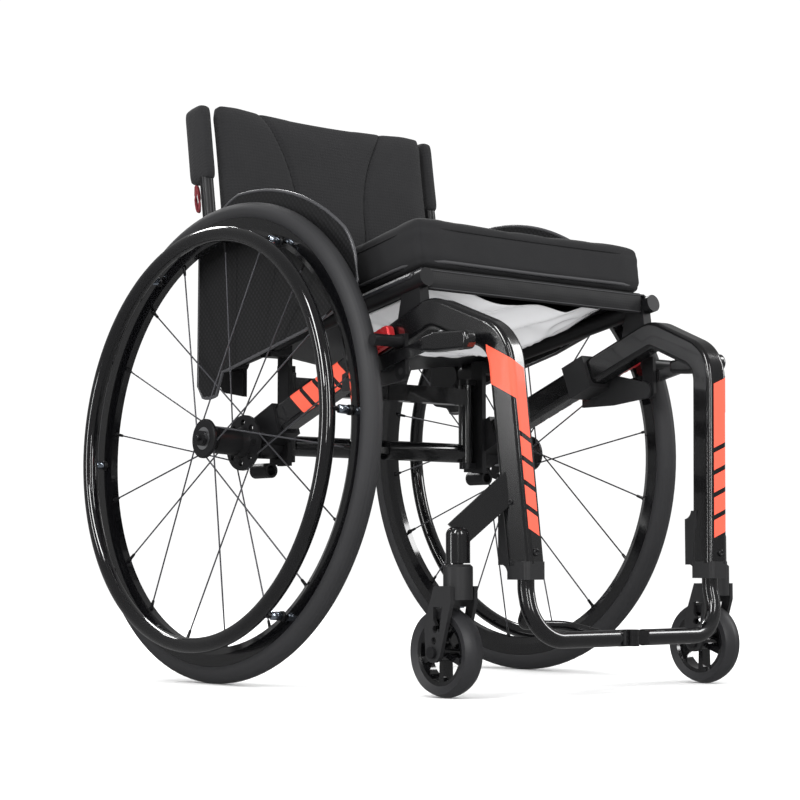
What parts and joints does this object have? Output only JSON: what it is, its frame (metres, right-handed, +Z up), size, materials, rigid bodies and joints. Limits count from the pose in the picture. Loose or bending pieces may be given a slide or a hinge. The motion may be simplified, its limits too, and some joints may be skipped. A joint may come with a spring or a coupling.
{
  "type": "manual wheelchair",
  "caption": "Folding active manual wheelchair with cambered rear wheels, swivel casters, bent side frames, tubular foot bar, thick seat cushion and low fabric back.",
  "frame": {"origin": "on the floor under the middle of the chair's overall box", "axes": "+Z up, the seat faces -Y, +X is the sitter's left, so the rear axle line is at y = +0.084 m"},
  "size_m": [0.6146, 0.766, 0.7623],
  "materials": {
    "frame_black": "gloss black clear-coated aluminium tube, coral red bands on the legs",
    "black_anodised": "satin black anodised aluminium",
    "dark_plastic": "matte dark grey moulded nylon with a fine grain",
    "gloss_rim": "gloss black coated rims and pushing rings",
    "tyre_rubber": "dark grey rubber with a fine tread",
    "caster_rubber": "soft dark grey polyurethane",
    "steel": "bright steel",
    "spoke_steel": "thin stainless spokes",
    "red_anodised": "red anodised aluminium",
    "carbon": "glossy twill carbon laminate",
    "seat_cloth": "smooth dark charcoal stretch cloth with piped seams",
    "sling_cloth": "black glossy coated nylon",
    "back_cloth": "charcoal spacer knit with sewn panels"
  },
  "bodies": {
    "right_side": {"seat_sling": "sling_cloth", "seat_cushion": "seat_cloth", "right_side_frame": "frame_black", "right_seat_rail": "black_anodised", "right_axle_clamp": "black_anodised", "right_hinge_upright": "black_anodised", "right_leg_collar": "dark_plastic", "right_side_bolts": "steel", "right_caster_arm": "frame_black", "right_caster_stem_bearings": "steel", "right_side_guard": "carbon", "right_back_bracket": "black_anodised", "right_wheel_lock_clamp": "dark_plastic", "right_quick_release_axle": "black_anodised"},
    "left_side": {"left_side_frame": "frame_black", "left_seat_rail": "black_anodised", "left_axle_clamp": "black_anodised", "left_hinge_upright": "black_anodised", "left_leg_collar": "dark_plastic", "left_side_bolts": "steel", "left_caster_arm": "frame_black", "left_caster_stem_bearings": "steel", "left_side_guard": "carbon", "left_back_bracket": "black_anodised", "left_wheel_lock_clamp": "dark_plastic", "left_quick_release_axle": "black_anodised"},
    "right_gate": {"right_fold_gate": "frame_black", "fold_pin": "steel"},
    "left_gate": {"left_fold_gate": "frame_black"},
    "right_footrest_half": {"right_footrest": "frame_black"},
    "right_wheel": {"right_rear_tyre": "tyre_rubber", "right_rear_rim": "gloss_rim", "right_rear_hub": "black_anodised", "right_hub_bearings": "steel", "right_rear_spokes": "spoke_steel", "right_handrim": "gloss_rim"},
    "right_button": {"right_quick_release_button": "black_anodised"},
    "right_caster": {"right_caster_fork": "dark_plastic", "right_caster_axle": "black_anodised"},
    "right_caster_wheel": {"right_caster_tyre": "caster_rubber", "right_caster_rim": "gloss_rim"},
    "right_back": {"right_back_post": "black_anodised", "back_upholstery": "back_cloth"},
    "right_lever": {"right_wheel_lock_lever": "dark_plastic"},
    "right_shoe": {"right_wheel_lock_shoe": "black_anodised"},
    "left_footrest_half": {"left_footrest": "frame_black"},
    "left_wheel": {"left_rear_tyre": "tyre_rubber", "left_rear_rim": "gloss_rim", "left_rear_hub": "black_anodised", "left_hub_bearings": "steel", "left_rear_spokes": "spoke_steel", "left_handrim": "gloss_rim"},
    "left_button": {"left_quick_release_button": "black_anodised"},
    "left_caster": {"left_caster_fork": "dark_plastic", "left_caster_axle": "black_anodised"},
    "left_caster_wheel": {"left_caster_tyre": "caster_rubber", "left_caster_rim": "gloss_rim"},
    "left_back": {"left_back_post": "black_anodised"},
    "left_lever": {"left_wheel_lock_lever": "dark_plastic"},
    "left_shoe": {"left_wheel_lock_shoe": "black_anodised"}
  },
  "joints": [
    {"name": "fold", "type": "hinge", "parent": "right_side", "child": "right_gate", "pos_m": [-0.152, 0.0775, 0.337], "axis": [0, 0, -1], "range_deg": [0, 70], "deforming": ["seat_sling", "seat_cushion", "back_upholstery"]},
    {"name": "gate_centre", "type": "hinge", "parent": "right_gate", "child": "left_gate", "pos_m": [0, 0.0935, 0.337], "axis": [0, 0, -1], "range_deg": [-140, 0]},
    {"name": "gate_left", "type": "hinge", "parent": "left_gate", "child": "left_side", "pos_m": [0.152, 0.0775, 0.337], "axis": [0, 0, -1], "range_deg": [0, 70]},
    {"name": "footrest_fold", "type": "hinge", "parent": "right_side", "child": "right_footrest_half", "pos_m": [-0.152, -0.3595, 0.14], "axis": [0, 0, 1], "range_deg": [0, 70]},
    {"name": "footrest_centre", "type": "hinge", "parent": "right_footrest_half", "child": "left_footrest_half", "pos_m": [0, -0.3755, 0.063], "axis": [0, 0, 1], "range_deg": [-140, 0]},
    {"name": "right_wheel_spin", "type": "hinge", "parent": "right_side", "child": "right_wheel", "pos_m": [-0.246, 0.0825, 0.29961], "axis": [-0.9986, 0, 0.0523], "continuous": true},
    {"name": "right_quick_release_press", "type": "slide", "parent": "right_side", "child": "right_button", "axis": [0.9986, 0, -0.0523], "range_m": [0, 0.004], "stiffness_N_per_m": 600},
    {"name": "right_caster_swivel", "type": "hinge", "parent": "right_side", "child": "right_caster", "pos_m": [-0.213, -0.3155, 0.15], "axis": [0, 0, 1], "continuous": true},
    {"name": "right_caster_spin", "type": "hinge", "parent": "right_caster", "child": "right_caster_wheel", "pos_m": [-0.213, -0.2955, 0.05], "axis": [-1, 0, 0], "continuous": true},
    {"name": "right_back_fold", "type": "hinge", "parent": "right_side", "child": "right_back", "pos_m": [-0.194, 0.1685, 0.419], "axis": [1, 0, 0], "range_deg": [0, 55]},
    {"name": "right_lock_lever", "type": "hinge", "parent": "right_side", "child": "right_lever", "pos_m": [-0.2135, -0.1695, 0.376], "axis": [1, 0, 0], "range_deg": [0, 42]},
    {"name": "right_lock_shoe", "type": "hinge", "parent": "right_side", "child": "right_shoe", "pos_m": [-0.2074, -0.2135, 0.368], "axis": [-1, 0, 0], "range_deg": [0, 10.5]},
    {"name": "left_wheel_spin", "type": "hinge", "parent": "left_side", "child": "left_wheel", "pos_m": [0.246, 0.0825, 0.29961], "axis": [0.9986, 0, 0.0523], "continuous": true},
    {"name": "left_quick_release_press", "type": "slide", "parent": "left_side", "child": "left_button", "axis": [-0.9986, 0, -0.0523], "range_m": [0, 0.004], "stiffness_N_per_m": 600},
    {"name": "left_caster_swivel", "type": "hinge", "parent": "left_side", "child": "left_caster", "pos_m": [0.213, -0.3155, 0.15], "axis": [0, 0, 1], "continuous": true},
    {"name": "left_caster_spin", "type": "hinge", "parent": "left_caster", "child": "left_caster_wheel", "pos_m": [0.213, -0.2955, 0.05], "axis": [1, 0, 0], "continuous": true},
    {"name": "left_back_fold", "type": "hinge", "parent": "left_side", "child": "left_back", "pos_m": [0.194, 0.1685, 0.419], "axis": [1, 0, 0], "range_deg": [0, 55]},
    {"name": "left_lock_lever", "type": "hinge", "parent": "left_side", "child": "left_lever", "pos_m": [0.2135, -0.1695, 0.376], "axis": [1, 0, 0], "range_deg": [0, 42]},
    {"name": "left_lock_shoe", "type": "hinge", "parent": "left_side", "child": "left_shoe", "pos_m": [0.2074, -0.2135, 0.368], "axis": [-1, 0, 0], "range_deg": [0, 10.5]}
  ],
  "couplings": [
    {"joint": "gate_centre", "follows": "fold", "ratio": -2},
    {"joint": "gate_left", "follows": "fold", "ratio": 1},
    {"joint": "footrest_fold", "follows": "fold", "ratio": 1},
    {"joint": "footrest_centre", "follows": "fold", "ratio": -2},
    {"joint": "left_back_fold", "follows": "right_back_fold", "ratio": 1},
    {"joint": "right_lock_shoe", "follows": "right_lock_lever", "ratio": 0.25},
    {"joint": "left_lock_shoe", "follows": "left_lock_lever", "ratio": 0.25}
  ]
}
